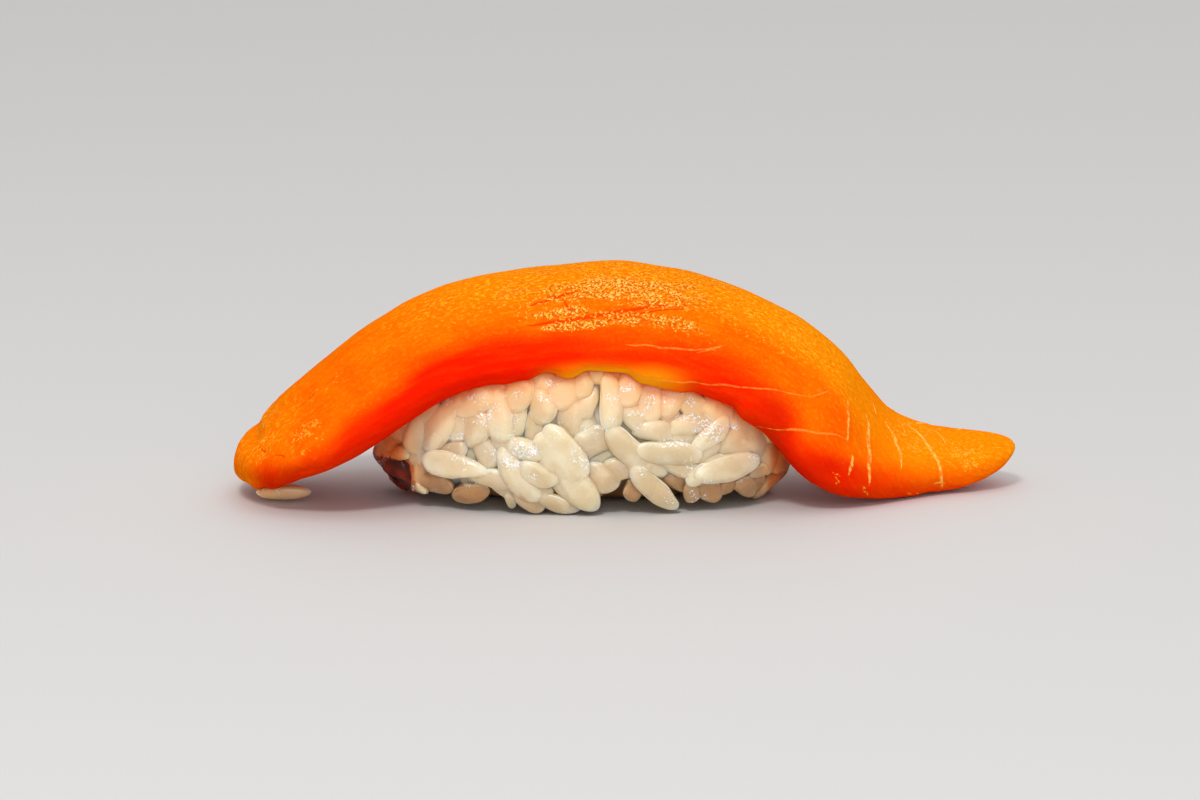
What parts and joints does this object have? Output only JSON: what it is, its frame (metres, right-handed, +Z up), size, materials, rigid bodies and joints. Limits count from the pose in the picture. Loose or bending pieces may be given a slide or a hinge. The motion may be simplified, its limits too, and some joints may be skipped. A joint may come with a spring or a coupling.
{
  "type": "salmon nigiri",
  "caption": "Salmon nigiri: a slice of raw salmon draped over a hand-pressed mound of sushi rice, with its thin tail trailing on the table.",
  "frame": {"origin": "on the table, under the middle of the piece's length and width", "axes": "+X along the slice towards its thin tail, +Z up; the shown front faces -Y"},
  "size_m": [0.0904, 0.0338, 0.0265],
  "materials": {
    "salmon": "wet, raw salmon flesh, orange on top and deeper red along its cut edge",
    "rice": "moist, ivory sushi rice, stained pale pink-orange under the fish"
  },
  "bodies": {
    "root": {"salmon_slice": "salmon", "rice": "rice"}
  },
  "joints": []
}
